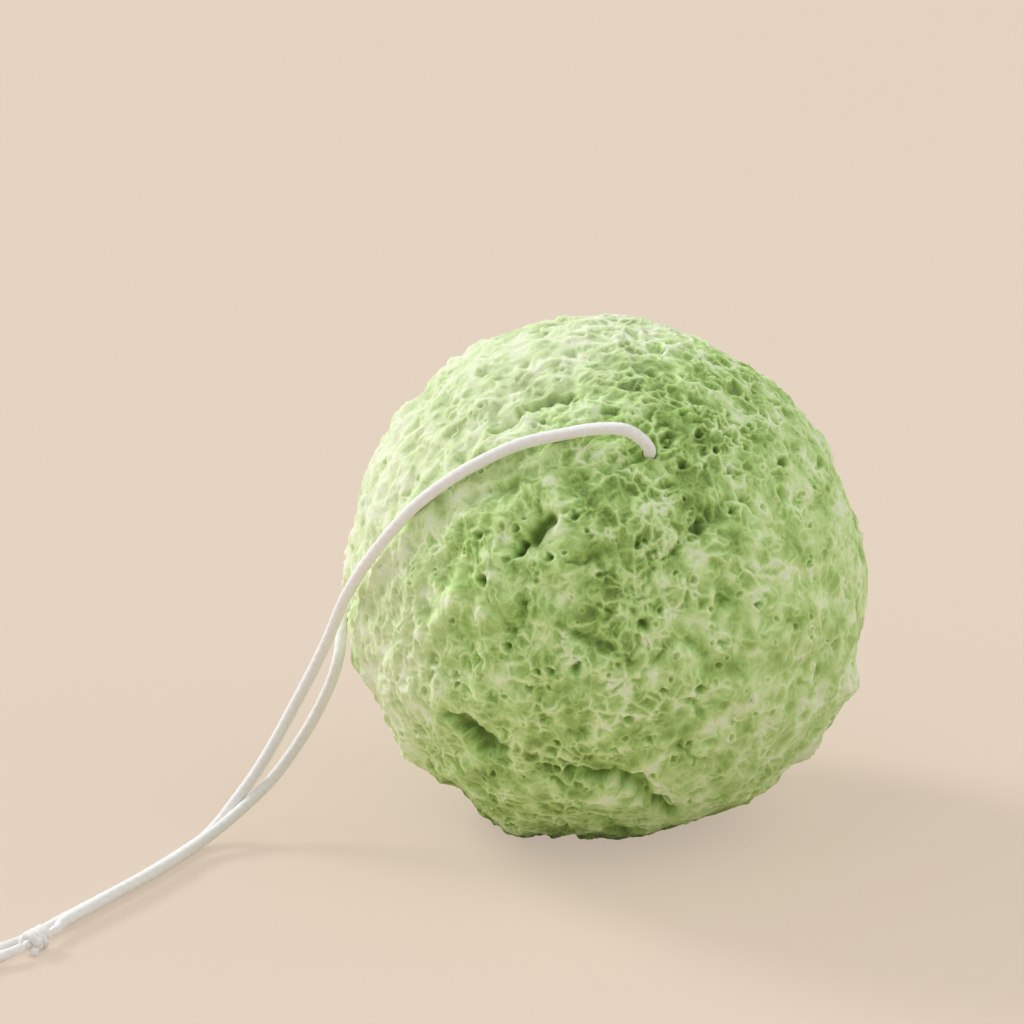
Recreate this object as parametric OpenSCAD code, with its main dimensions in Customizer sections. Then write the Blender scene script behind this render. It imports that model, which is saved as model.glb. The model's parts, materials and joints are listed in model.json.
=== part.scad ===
// A soft ball of konjac sponge threaded on a cotton cord that is tied into a hanging loop.
// Millimetres, +Z up, -Y towards the viewer; the origin is under the middle of the ball,
// on the surface that it stands on.

/* [Ball] */
// Diameter of the ball of sponge, without its loose fluff
ball_d = 79; // [70:1:79]
// How far the ball's own weight presses its underside flat
base_flat = 2.1; // [1:0.1:3]
// Height of the tallest swell above the round ball
swell_h = 0.4; // [0:0.1:0.4]
// Depth of the deepest hollow below the round ball
hollow_deep = 1.2; // [0:0.1:1.5]
// Depth of the deepest of the small dents that lie on the swells and hollows
dent_deep = 1.2; // [0:0.1:1.5]

/* [Channel] */
// Turn of the channel's front mouth to the right of straight ahead, in degrees
channel_turn = 10; // [5:1:15]
// Rise of the channel's front mouth above the level, in degrees
channel_rise = 43; // [40:1:46]
// Clearance all round the cord inside the channel
channel_gap = 0.1; // [0.05:0.05:0.3]
// Width of the funnel at each end of the channel, where the cord leaves the ball
mouth_d = 5; // [4:0.5:7]
// Depth of that funnel below the round ball
mouth_deep = 2; // [1:0.5:3]

/* [Cord] */
// Diameter of the cotton cord
cord_d = 1.8; // [1.2:0.1:1.8]
// Straight run of the cord as it leaves the channel
exit_run = 1.4; // [1:0.1:2]

/* [Knot] */
// Diameter of the knot
knot_d = 3.4; // [3:0.1:3.6]
// Length of the knot along the cord
knot_l = 4.6; // [3:0.2:5]
// Width of the flat end of the knot, where the cord goes in
knot_face_d = 2.4; // [2:0.1:2.8]
// Straight run of the cord before the knot
knot_run = 1.8; // [1:0.2:2]
// Diameter of a cut end, which is drawn thin by the knot
tail_d = 1.5; // [1:0.1:1.6]
// Reach of the lower cut end from the middle of the knot
low_tail_l = 3.6; // [2.6:0.2:6]
// Reach of the upper cut end from the middle of the knot
high_tail_l = 3; // [2.6:0.2:6]
// Clearance between the two cut ends, one above the other
tail_gap = 0.1; // [0.05:0.05:0.3]

/* [Hidden] */

ball_r = ball_d / 2;
cord_r = cord_d / 2;
// The middle of the ball, which the channel and the swing of the cord go through
ball_centre = [0, 0, ball_r - base_flat];
channel_r = cord_r + channel_gap;
// From the middle of the ball to the bottom of each funnel, where the held cord ends
core_reach = ball_r - mouth_deep;
// One overrun for every cut
overrun = 3;

// Swells and hollows of the ball, set by hand: turn and rise in degrees, the share of
// swell_h or, where it is negative, of hollow_deep, and how far it spreads, in degrees
swell_shares = [
    [-129, 64, 0.9, 32], [98, 24, -0.9, 20], [115, 54, -0.9, 18],
    [-51, -62, 0.9, 18], [17, -66, -0.8, 18], [78, -33, 0.9, 24],
    [-85, -32, -0.6, 12], [-74, -46, 0.5, 10], [-97, 15, -0.5, 14],
    [-10, 12, 0.6, 22], [-48, 0, -0.6, 18], [38, -12, -0.6, 20],
    [30, 40, 0.5, 18], [-40, 45, 0.4, 18], [165, 5, 0.8, 28],
    [140, -35, -0.7, 24], [-150, -5, -0.6, 22], [-135, -45, 0.6, 20],
    [60, 75, 0.4, 20], [-15, -40, 0.4, 14]];
// Dents of the side that faces the viewer, set by hand: turn and rise in degrees, the share
// of dent_deep, and how far it spreads, in degrees
dent_shares = [
    [-32, -21, 0.9, 6], [-24, -22, 0.5, 5.5], [-15, -23, 0.5, 6], [-2, -28, 0.9, 5.5],
    [-9, -27, 0.6, 5.5], [11, -35, 0.9, 5.5], [-4, -46, 0.7, 6], [10, -47, 0.6, 6],
    [-16, -52, 0.5, 6], [-7, 6, 0.5, 5.5], [23, 13, 0.9, 5.5], [16, 3, 0.6, 5.5],
    [9, 13, 0.7, 5.5], [22, -4, 0.5, 5.5], [18, -14, 0.5, 6], [10, -18, 0.4, 6],
    [-13, 15, 0.6, 5.5], [-19, 24, 0.9, 5.5], [-25, 38, 0.6, 6], [-36, 30, 0.5, 6],
    [-38, 15, 0.6, 5.5], [-36, -3, 0.5, 6], [-21, 4, 0.4, 5.5], [-9, 38, 0.4, 5.5],
    [14, 24, 0.7, 5.5], [24, 29, 0.8, 5.5], [27, 38, 0.4, 5.5], [45, 29, 0.7, 6],
    [-22, 56, 0.5, 6], [-35, 47, 0.5, 6], [36, 65, 0.4, 6], [52, 53, 0.5, 7],
    [58, 5, 0.5, 6], [50, -8, 0.4, 6], [38, -26, 0.5, 7], [62, -36, 0.5, 6],
    [-56, 14, 0.4, 6], [-52, -26, 0.5, 7], [-8, 72, 0.4, 7], [40, 14, 0.4, 6],
    [-60, -48, 1, 5.5], [-74, -25, 0.6, 5.5], [-89, 14, 0.4, 6], [-93, 29, 0.4, 5.5],
    [91, 22, 0.7, 7], [106, 57, 0.6, 8], [79, -13, 0.4, 5.5], [42, -60, 0.6, 7]];
// Dents and bumps of the other sides, strewn by a rule: how many a whole ball would have, how
// far each strays from an even pattern, and how far the smallest and the widest spread
strewn_count = 260;
stray = 4;
strewn_spreads = [4.5, 7.5];
// Turn and rise of the way to the viewer, and the angle round it where nothing is strewn
view_turn = -2;
view_rise = 16;
view_spread = 76;
// Angle round each mouth and each widest point of the ball where nothing is strewn, and the
// lowest rise of what is strewn
clear_spread = 13;
lowest_rise = -56;
// The turn that spreads places most evenly as it goes on and on
golden_turn = 137.5;
// How many times its spread a swell reaches before it counts as faded out
fade_end = 3;
// Steps of the ball's surface round the ball and from pole to pole
turns = 76;
rises = 38;
// Sides of the cord's tubes
cord_sides = 8;
$fn = 48;

// Route of the front strand, set by hand from where it leaves the ball's funnel
front_route = [
    [4.7, -29.5, 65.6], [3.4, -30.4, 67.2], [1.5, -30.5, 68.3], [-0.9, -29.8, 68.4],
    [-3.8, -28.7, 67.9], [-7.6, -27.5, 66.9], [-13.3, -27, 65.4], [-19, -26.4, 62.6],
    [-23.5, -25.4, 59.6], [-27.9, -24, 55.8], [-31.6, -22.2, 51.4], [-34.8, -19.8, 46.8],
    [-37.2, -16.8, 42.6], [-39.1, -13.5, 38.6], [-40.5, -11.2, 35], [-41.8, -10, 31.6],
    [-44.2, -9.4, 26.4], [-47.2, -9.5, 20.6], [-50.4, -10, 14.7], [-53.6, -10.8, 9.5],
    [-56.5, -12, 5.7], [-59, -13.8, 2.8], [-61, -16.2, 1.3], [-62.9, -19.2, 0.9],
    [-66, -25.5, 0.9], [-69.5, -31.8, 0.9], [-72.9, -37.3, 0.9], [-76, -42.2, 0.9],
    [-78.9, -46.6, 0.9], [-81, -49.6, 0.9], [-83.2, -52.2, 0.9]];
// Route of the hanging loop, from the end of the front strand round to the knot
loop_route = [
    [-85.9, -54.9, 0.9], [-91.2, -58.6, 0.9], [-97, -61, 0.9], [-102.2, -63.6, 0.9],
    [-106, -67.2, 0.9], [-107.3, -71.5, 0.9], [-105.7, -75.2, 0.9], [-101.8, -76.4, 0.9],
    [-97.6, -74.6, 0.9], [-93.8, -70.8, 0.9], [-90, -65.2, 0.9], [-86.4, -59.9, 1],
    [-83.8, -57.2, 1.3]];
// Route of the rear strand, from where it leaves the ball's funnel to the knot
back_route = [
    [-5.8, 29.5, 9.5], [-7.5, 30.5, 8.6], [-9.8, 30.8, 8.4], [-12.1, 30.3, 9.2],
    [-14.3, 29.4, 10.7], [-17.5, 28.1, 13], [-22.9, 26.7, 16.2], [-27.8, 24.7, 19.9],
    [-32.1, 21.8, 23.8], [-35.7, 17.8, 27.4], [-38.3, 12.8, 29.8], [-39.9, 7.1, 30.8],
    [-40.6, 1.5, 30.6], [-40.5, -2.8, 29.7], [-40.7, -5.6, 27.2], [-41.7, -6.8, 23.7],
    [-44.4, -7.4, 17.9], [-48, -8.4, 12.2], [-51.5, -10.4, 8], [-54.7, -12.9, 5.5],
    [-57.6, -15.8, 3.7], [-61.2, -20.2, 2.2], [-64.4, -26.4, 2], [-67.9, -32.7, 2],
    [-71.2, -38.1, 2], [-74.2, -42.9, 1.9], [-77, -47.4, 1.8]];
// Place of the knot on the surface, the heading of the cord through it, and the headings
// of the lower and upper cut ends, in degrees from +X towards +Y
knot_place = [-79.6, -52.5];
knot_heading = 237;
low_tail_heading = -73;
high_tail_heading = -60;

knot_centre = [knot_place.x, knot_place.y, knot_d / 2];

// Unit vector at a turn from straight ahead and a rise above the level
function direction(turn, rise) = [cos(rise) * sin(turn), -cos(rise) * cos(turn), sin(rise)];
function unit(v) = v / norm(v);
// The sum of a list of numbers
function total(v) = v * [for (x = v) 1];
// The part of v that is square to the unit vector t, made one long
function square_to(v, t) = unit(v - (v * t) * t);

axis = direction(channel_turn, channel_rise);
function channel_point(reach) = ball_centre + reach * axis;
knot_axis = [cos(knot_heading), sin(knot_heading), 0];
function knot_point(reach) = knot_centre + reach * knot_axis;

// A number from -1 to 1 that looks thrown for each place i; the angle tells its uses apart
function thrown(i, angle) = sin(angle * i * i);
// Strewn place number i: a golden turn on from the last and a step lower, then moved a little
function strewn_way(i) = direction(
    golden_turn * i + stray * thrown(i, 91),
    asin(1 - (2 * i + 1) / strewn_count) + stray * thrown(i, 47));
clear_ways = [axis, -axis, [1, 0, 0], [-1, 0, 0], [0, 1, 0], [0, -1, 0]];
function is_clear(d) =
    d * direction(view_turn, view_rise) < cos(view_spread) && d.z > sin(lowest_rise)
    && max([for (k = clear_ways) d * k]) < cos(clear_spread);
function strewn_height(share) = (share > 0 ? swell_h : dent_deep) * share;
function strewn_spread(share) =
    (strewn_spreads[0] * (1 - share) + strewn_spreads[1] * (1 + share)) / 2;
// Every swell, hollow, dent and bump: its direction, its height and how far it spreads
all_swells = concat(
    [for (s = swell_shares)
        [direction(s[0], s[1]), (s[2] > 0 ? swell_h : hollow_deep) * s[2], s[3]]],
    [for (s = dent_shares) [direction(s[0], s[1]), -dent_deep * s[2], s[3]]],
    [for (i = [0:strewn_count - 1]) let (d = strewn_way(i)) if (is_clear(d))
        [d, strewn_height(thrown(i, 77)), strewn_spread(thrown(i, 53))]]);
// Height of one of them at direction d, which fades with the angle from its middle
function swell(s, d) = let (apart = acos(min(1, d * s[0]))) apart < fade_end * s[2]
    ? s[1] * exp(-pow(apart / s[2], 2)) : 0;
// A point of the ball's surface at direction d, never higher than the tallest swell
function ball_point(d) =
    ball_centre + (ball_r + min(swell_h, total([for (s = all_swells) swell(s, d)]))) * d;

// The two triangles of each step between ring r and the next, with k points a ring
function between_rings(r, k) = [
    for (s = [0:k - 1]) let (a = r * k + s, b = r * k + (s + 1) % k)
        each [[a, a + k, b + k], [a, b + k, b]]];

// The whole route of each strand: straight out of the channel, and straight into the knot
front_path = concat(
    [channel_point(core_reach), channel_point(core_reach + exit_run)], front_route, loop_route,
    [knot_point(knot_l / 2 + knot_run), knot_point(knot_l / 2)]);
back_path = concat(
    [channel_point(-core_reach), channel_point(-core_reach - exit_run)], back_route,
    [knot_point(-knot_l / 2 - knot_run), knot_point(-knot_l / 2)]);
// The ring of front_path at which the front strand ends and the hanging loop starts
loop_start = len(front_route) + 1;

function heading(path, i) = unit(path[min(i + 1, len(path) - 1)] - path[max(i - 1, 0)]);
// One side vector for each point, carried along the path so that the tube doesn't twist
function sides(path) = [
    for (i = 0, u = square_to([1, 0, 0], heading(path, 0)); i < len(path);
        i = i + 1, u = i < len(path) ? square_to(u, heading(path, i)) : u) u];

// The tube round one stretch of a path, from its ring number first to its ring number last
module strand(path, first, last) {
    u = sides(path);
    points = [
        for (i = [first:last]) let (t = heading(path, i), v = cross(t, u[i]))
            for (s = [0:cord_sides - 1]) let (a = 360 * s / cord_sides)
                path[i] + cord_r * (cos(a) * u[i] + sin(a) * v)];
    rings = last - first + 1;
    start = [for (s = [0:cord_sides - 1]) s];
    end = [for (s = [cord_sides - 1:-1:0]) (rings - 1) * cord_sides + s];
    color("ivory") polyhedron(
        points, concat([start], [for (r = [0:rings - 2]) each between_rings(r, cord_sides)], [end]));
}

// Turns a shape that is drawn along +Z to lie along the channel, at the middle of the ball
module along_channel() {
    translate(ball_centre) rotate([90 - channel_rise, 0, channel_turn]) children();
}

module round_ball() {
    rings = rises - 1;
    low = rings * turns;
    high = low + 1;
    points = concat(
        [for (r = [1:rings]) for (t = [0:turns - 1])
            ball_point(direction(360 * t / turns, 180 * r / rises - 90))],
        [ball_point([0, 0, -1]), ball_point([0, 0, 1])]);
    underside = [for (t = [0:turns - 1]) [low, t, (t + 1) % turns]];
    crown = [for (t = [0:turns - 1])
        [(rings - 1) * turns + t, high, (rings - 1) * turns + (t + 1) % turns]];
    polyhedron(points, concat(
        underside, [for (r = [0:rings - 2]) each between_rings(r, turns)], crown));
}

// The funnel at one end of the channel; it widens past the ball's surface at the same slope
module funnel() {
    slope = (mouth_d / 2 - channel_r) / mouth_deep;
    translate([0, 0, core_reach]) cylinder(
        h = mouth_deep + overrun, r1 = channel_r, r2 = channel_r + slope * (mouth_deep + overrun));
}

module sponge_body() {
    color("yellowgreen") difference() {
        round_ball();
        translate([-ball_d, -ball_d, -ball_d]) cube([2 * ball_d, 2 * ball_d, ball_d]);
        along_channel() {
            cylinder(h = ball_d + overrun, r = channel_r, center = true);
            funnel();
            mirror([0, 0, 1]) funnel();
        }
    }
}

module cord_core() {
    color("ivory") along_channel() cylinder(h = 2 * core_reach, r = cord_r, center = true);
}

module cord_front() {
    strand(front_path, 0, loop_start);
}

module hanging_loop() {
    strand(front_path, loop_start, len(front_path) - 1);
}

module cord_back() {
    strand(back_path, 0, len(back_path) - 1);
}

// A ball drawn out along the cord: round at the waist, with a flat where each strand goes in
module knot() {
    color("ivory") translate(knot_centre) rotate([0, 90, knot_heading]) intersection() {
        sphere(r = norm([knot_l / 2, knot_face_d / 2]));
        cylinder(h = knot_l, r = knot_d / 2, center = true);
    }
}

// One cut end, which is squeezed in the middle of the knot and lies level at the given height
module tail(heading_angle, reach, height) {
    translate([knot_place.x, knot_place.y, height]) rotate([0, 90, heading_angle])
        cylinder(h = reach, r = tail_d / 2);
}

module cord_tails() {
    color("ivory") {
        tail(low_tail_heading, low_tail_l, tail_d / 2);
        tail(high_tail_heading, high_tail_l, 1.5 * tail_d + tail_gap);
    }
}

sponge_body();
cord_core();
cord_front();
hanging_loop();
cord_back();
knot();
cord_tails();
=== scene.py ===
# %% [markdown]
# # A konjac sponge ball on its cotton cord
# Konjac sponge is a soft foam of plant fibre. This ball is about 80 mm across, and a thin cotton
# cord goes straight through it and is tied into a loop, so that the wet sponge can hang to dry.
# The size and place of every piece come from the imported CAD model, which is loaded first and
# never moved. Blender adds what CAD leaves out: pores, fibres, the lay of the cord and the light.

# %% Load the fixed frame
import json
import math
import random

import bpy
import numpy as np
from mathutils import Matrix, Vector


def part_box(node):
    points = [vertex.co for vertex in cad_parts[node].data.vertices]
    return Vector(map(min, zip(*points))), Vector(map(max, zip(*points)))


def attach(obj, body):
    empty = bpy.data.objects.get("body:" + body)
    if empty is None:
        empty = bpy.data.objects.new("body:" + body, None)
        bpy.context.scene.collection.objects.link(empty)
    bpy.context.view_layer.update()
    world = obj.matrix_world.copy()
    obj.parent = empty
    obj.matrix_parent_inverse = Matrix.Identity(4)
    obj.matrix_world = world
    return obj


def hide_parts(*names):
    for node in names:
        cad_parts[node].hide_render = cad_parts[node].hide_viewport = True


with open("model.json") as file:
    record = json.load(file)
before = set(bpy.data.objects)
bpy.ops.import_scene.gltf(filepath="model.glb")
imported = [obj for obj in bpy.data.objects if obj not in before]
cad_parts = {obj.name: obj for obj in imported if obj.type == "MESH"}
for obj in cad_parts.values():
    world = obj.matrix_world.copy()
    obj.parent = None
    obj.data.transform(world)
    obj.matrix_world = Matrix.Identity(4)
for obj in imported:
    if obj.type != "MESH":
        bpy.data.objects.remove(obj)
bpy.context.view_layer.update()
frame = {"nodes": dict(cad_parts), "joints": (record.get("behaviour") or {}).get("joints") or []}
mm = 0.001

# %% [markdown]
# ## The view
# A product photograph is matched by its camera first: with the wrong camera, every shape that is
# right in itself looks wrong. The ball's width and place in the picture, and how the two strands
# of cord draw apart, fix a camera 380 mm from the middle of the ball, 17 degrees above it.

# %% The camera
picture_px = 1024
sensor = 36 * mm
focal_px = 2468.9
camera_at = Vector((-14.3, -363.5, 148.5)) * mm
camera_dip = math.radians(15.44)

bpy.ops.object.select_all(action="DESELECT")
bpy.ops.object.camera_add(location=camera_at, rotation=(math.pi / 2 - camera_dip, 0, 0))
camera = bpy.context.object
camera.name = "view_camera"
camera.data.sensor_width = sensor / mm
camera.data.lens = focal_px / picture_px * sensor / mm
camera.data.clip_start = 10 * mm
bpy.context.scene.camera = camera
bpy.context.scene.view_settings.view_transform = "Standard"
print("lens in mm:", round(camera.data.lens, 2))


def sight(x_px, y_px):
    """The direction from the camera through a point of the picture."""
    right = (x_px - picture_px / 2) / focal_px
    up = (picture_px / 2 - y_px) / focal_px
    ahead = Vector((0, math.cos(camera_dip), -math.sin(camera_dip)))
    above = Vector((0, math.sin(camera_dip), math.cos(camera_dip)))
    return (ahead + right * Vector((1, 0, 0)) + up * above).normalized()


# %% [markdown]
# ## The cord
# The cord is one length of soft cotton, and only its route makes it look limp. It leaves the
# front mouth of the channel, bends over the ball, drops to the floor under its own weight and
# ends in a loop that is tied off with a knot. The rear strand comes round the back of the ball
# and lies on the front one. These points are the ones of the CAD model.

# %% The route of both strands
hinge = frame["joints"][0]
ball_centre = Vector(hinge["pos_m"])
channel = -Vector(hinge["axis"])
core_reach = 37.5 * mm
exit_run = 1.4 * mm
cord_thick = 1.8 * mm
knot_centre = Vector((-79.6, -52.5, 1.7)) * mm
knot_long = 4.6 * mm
knot_run = 1.8 * mm
knot_turn = math.radians(237)
knot_along = Vector((math.cos(knot_turn), math.sin(knot_turn), 0))

front_route = [
    (4.7, -29.5, 65.6), (3.4, -30.4, 67.2), (1.5, -30.5, 68.3), (-0.9, -29.8, 68.4),
    (-3.8, -28.7, 67.9), (-7.6, -27.5, 66.9), (-13.3, -27, 65.4), (-19, -26.4, 62.6),
    (-23.5, -25.4, 59.6), (-27.9, -24, 55.8), (-31.6, -22.2, 51.4), (-34.8, -19.8, 46.8),
    (-37.2, -16.8, 42.6), (-39.1, -13.5, 38.6), (-40.5, -11.2, 35), (-41.8, -10, 31.6),
    (-44.2, -9.4, 26.4), (-47.2, -9.5, 20.6), (-50.4, -10, 14.7), (-53.6, -10.8, 9.5),
    (-56.5, -12, 5.7), (-59, -13.8, 2.8), (-61, -16.2, 1.3), (-62.9, -19.2, 0.9),
    (-66, -25.5, 0.9), (-69.5, -31.8, 0.9), (-72.9, -37.3, 0.9), (-76, -42.2, 0.9),
    (-78.9, -46.6, 0.9), (-81, -49.6, 0.9), (-83.2, -52.2, 0.9)]
loop_route = [
    (-85.9, -54.9, 0.9), (-91.2, -58.6, 0.9), (-97, -61, 0.9), (-102.2, -63.6, 0.9),
    (-106, -67.2, 0.9), (-107.3, -71.5, 0.9), (-105.7, -75.2, 0.9), (-101.8, -76.4, 0.9),
    (-97.6, -74.6, 0.9), (-93.8, -70.8, 0.9), (-90, -65.2, 0.9), (-86.4, -59.9, 1),
    (-83.8, -57.2, 1.3)]
back_route = [
    (-5.8, 29.5, 9.5), (-7.5, 30.5, 8.6), (-9.8, 30.8, 8.4), (-12.1, 30.3, 9.2),
    (-14.3, 29.4, 10.7), (-17.5, 28.1, 13), (-22.9, 26.7, 16.2), (-27.8, 24.7, 19.9),
    (-32.1, 21.8, 23.8), (-35.7, 17.8, 27.4), (-38.3, 12.8, 29.8), (-39.9, 7.1, 30.8),
    (-40.6, 1.5, 30.6), (-40.5, -2.8, 29.7), (-40.7, -5.6, 27.2), (-41.7, -6.8, 23.7),
    (-44.4, -7.4, 17.9), (-48, -8.4, 12.2), (-51.5, -10.4, 8), (-54.7, -12.9, 5.5),
    (-57.6, -15.8, 3.7), (-61.2, -20.2, 2.2), (-64.4, -26.4, 2), (-67.9, -32.7, 2),
    (-71.2, -38.1, 2), (-74.2, -42.9, 1.9), (-77, -47.4, 1.8)]


def whole_path(side, route):
    """A strand's points in metres: out of one mouth, along its route and into the knot."""
    mouth = [ball_centre + side * reach * channel for reach in (core_reach, core_reach + exit_run)]
    knot = [knot_centre + side * reach * knot_along
            for reach in (knot_long / 2 + knot_run, knot_long / 2)]
    return mouth + [Vector(p) * mm for p in route] + knot


front_path = whole_path(1, front_route + loop_route)
back_path = whole_path(-1, back_route)

# %% [markdown]
# ### A smooth line through the points
# A spline that passes through every point keeps the strand on its planned route. Spacing the
# knots of the spline by the root of the distance stops it from looping where points lie close.
# The line is then cut into even steps, because an even mesh takes an even twist.

# %% Smooth and even lines
spline_steps = 24


def run_along(line):
    """How far along a line each of its points is."""
    return np.concatenate([[0], np.cumsum(np.linalg.norm(np.diff(line, axis=0), axis=1))])


def smooth_line(points, step):
    """Points an even step apart on a smooth curve through the given points."""
    ends = [2 * points[0] - points[1], *points, 2 * points[-1] - points[-2]]
    fine = []
    for a, b, c, d in zip(ends, ends[1:], ends[2:], ends[3:]):
        t1 = (b - a).length ** 0.5
        t2 = t1 + (c - b).length ** 0.5
        t3 = t2 + (d - c).length ** 0.5
        for t in np.linspace(t1, t2, spline_steps, endpoint=False):
            ab = (a * (t1 - t) + b * t) / t1
            bc = (b * (t2 - t) + c * (t - t1)) / (t2 - t1)
            cd = (c * (t3 - t) + d * (t - t2)) / (t3 - t2)
            ac = (ab * (t2 - t) + bc * t) / t2
            bd = (bc * (t3 - t) + cd * (t - t1)) / (t3 - t1)
            fine.append((ac * (t2 - t) + bd * (t - t1)) / (t2 - t1))
    fine = np.array([*fine, points[-1]])
    run = run_along(fine)
    even = np.linspace(0, run[-1], max(2, round(run[-1] / step) + 1))
    return np.stack([np.interp(even, run, fine[:, i]) for i in range(3)], axis=1), run[-1]


# %% [markdown]
# ### From line to laid cord
# Cotton cord is three soft yarns laid round each other, so its section is a rounded clover that
# turns as it goes. A tube with a round section and a bump map would look the same from far away,
# but the lobes also soften the outline, so they are modelled. The tube carries a UV map, which
# measures millimetres along the cord and round it, for the fibres of its material.

# %% A laid tube
yarns = 3
lobe_share = 0.025
lay_pitch = 5.2 * mm
cord_step = 0.3 * mm
cord_sides = 30
first_across = (0.3, 0.4, 0.9)
least_rounding = 0.02


def across_frames(line):
    """Unit tangents of a line and two vectors square to them, carried along without a twist."""
    tangents = np.gradient(line, axis=0)
    tangents /= np.linalg.norm(tangents, axis=1)[:, None]
    side = np.cross(tangents[0], first_across)
    sides = []
    for t in tangents:
        side = side - (side @ t) * t
        side = side / np.linalg.norm(side)
        sides.append(side)
    sides = np.array(sides)
    return tangents, sides, np.cross(tangents, sides)


def laid_tube(name, line, radius, lobes=lobe_share, pitch=lay_pitch, thick=1):
    """A tube along an even line: three yarns laid round each other, with closed, round ends.

    thick is the share of the radius that is left, for all points or for each one.
    """
    tangents, across, up = across_frames(line)
    run = run_along(line)
    sides = cord_sides
    turn = np.linspace(0, 2 * math.pi, sides, endpoint=False)
    swell = 1 + lobes * np.cos(yarns * (turn[None, :] - 2 * math.pi * run[:, None] / pitch))
    from_end = np.minimum(run, run[-1] - run)
    past_end = np.clip(1 - from_end / radius, 0, 1)
    rounding = np.sqrt(np.clip(1 - past_end ** 2, least_rounding, 1))
    reach = radius * (1 - lobes) * swell * (rounding * thick)[:, None]
    ring = (np.cos(turn)[None, :, None] * across[:, None, :]
            + np.sin(turn)[None, :, None] * up[:, None, :])
    verts = (line[:, None, :] + reach[..., None] * ring).reshape(-1, 3)
    rings = len(line)
    faces = [(r * sides + s, r * sides + (s + 1) % sides,
              (r + 1) * sides + (s + 1) % sides, (r + 1) * sides + s)
             for r in range(rings - 1) for s in range(sides)]
    around = [(run[r + dr] / mm, (s + ds) / sides)
              for r in range(rings - 1) for s in range(sides)
              for dr, ds in ((0, 0), (0, 1), (1, 1), (1, 0))]
    faces += [tuple(range(sides))[::-1], tuple((rings - 1) * sides + s for s in range(sides))]
    around += [(0, 0)] * sides + [(run[-1] / mm, 0)] * sides
    mesh = bpy.data.meshes.new(name)
    mesh.from_pydata(verts.tolist(), [], faces)
    mesh.uv_layers.new(name="lay").data.foreach_set("uv", np.array(around, float).ravel())
    mesh.shade_smooth()
    tube = bpy.data.objects.new(name, mesh)
    bpy.context.scene.collection.objects.link(tube)
    return tube


# %% [markdown]
# ### Where the cord is thin
# Soft cord doesn't keep its thickness. The pull of the knot draws both strands thin beside it,
# and the foam squeezes them where they leave the ball.

# %% Both strands
drawn_run = 6 * mm
drawn_share = 0.3
squeeze_run = 2.4 * mm
squeeze_share = 0.22


def ease(share):
    """A share from 0 to 1, with a soft start and a soft end."""
    return share * share * (3 - 2 * share)


def drawn_thin(line):
    """The share of its thickness that a strand keeps at each point of its line."""
    from_knot = np.linalg.norm(line - np.array(knot_centre), axis=1) - knot_long / 2
    from_mouth = np.linalg.norm(line - line[0], axis=1)
    thick = 1
    for apart, run, share in ((from_knot, drawn_run, drawn_share),
                              (from_mouth, squeeze_run, squeeze_share)):
        thick = thick - share * ease(np.clip(1 - apart / run, 0, 1))
    return thick


strands = {}
for name, path in (("front_strand_and_loop", front_path), ("rear_strand", back_path)):
    line, length = smooth_line(path, cord_step)
    tube = laid_tube(name, line, cord_thick / 2, thick=drawn_thin(line))
    strands[name] = (tube, line, length)
    print(name, "is", round(length / mm, 1), "mm long")

# %% [markdown]
# ### The knot
# The cord's two ends are tied together. Pulled tight, such a knot is a short barrel: the cord
# goes through the middle and is wound round by its own squeezed turns. Each turn is a real
# helix of a thinner tube, because squeezed cotton loses a third of its thickness.

# %% The turns of the knot
squeezed = 1.16 * mm
squeezed_pitch = 3.6 * mm
core_thick = 1.2 * mm
core_swell = 1.15
core_pitch = 4 * mm
knot_turns = 2.6
points_a_turn = 16
turns_reach = 1.55 * mm
turn_lean = 0.16
tightness = 0.95
wind_radius = (core_thick + squeezed) / 2 * tightness
knot_side = Vector((-knot_along.y, knot_along.x, 0))


def in_knot(along, across, up):
    """A point near the knot: along the cord, across it and up from the knot's middle."""
    return knot_centre + along * knot_along + across * knot_side + Vector((0, 0, up))


def winding_points():
    """The squeezed cord's way round the core, from one buried end to the other."""
    steps = round(knot_turns * points_a_turn)
    for i in range(steps + 1):
        share = i / steps
        angle = 2 * math.pi * knot_turns * share
        lean = turn_lean * math.sin(2 * angle)
        along = turns_reach * (2 * share - 1) + lean * squeezed
        yield in_knot(along, wind_radius * math.cos(angle), wind_radius * math.sin(angle))


turns_line, turns_length = smooth_line(list(winding_points()), cord_step / 2)
core_shares = (-0.5, -0.25, 0, 0.25, 0.5)
core_line, _ = smooth_line([in_knot(knot_long * share, 0, 0) for share in core_shares],
                           cord_step / 2)
knot_parts = [
    laid_tube("knot_turns", turns_line, squeezed / 2, pitch=squeezed_pitch),
    laid_tube("knot_core", core_line, core_thick / 2 * core_swell, pitch=core_pitch)]
print("the knot's turns are", round(turns_length / mm, 1), "mm of cord")

# %% [markdown]
# ### The cut ends
# Beyond the last turn the two ends stick out and are cut short. Nothing holds their yarns
# together there, so the yarns show more than along the strands.

# %% The cut ends of the cord
tail_thick = 1.5 * mm
tail_pitch = 4.5 * mm
loose_lobes = 0.1
early_climb = 1.6
tail_shares = (0.1, 0.35, 0.6, 0.8, 1)
# Each end: its name, its heading in degrees, its reach, and its height from the knot's middle
end_places = (("low_end", -90, 2.5 * mm, -0.95 * mm), ("high_end", -72, 2.2 * mm, 0.4 * mm))

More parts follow.
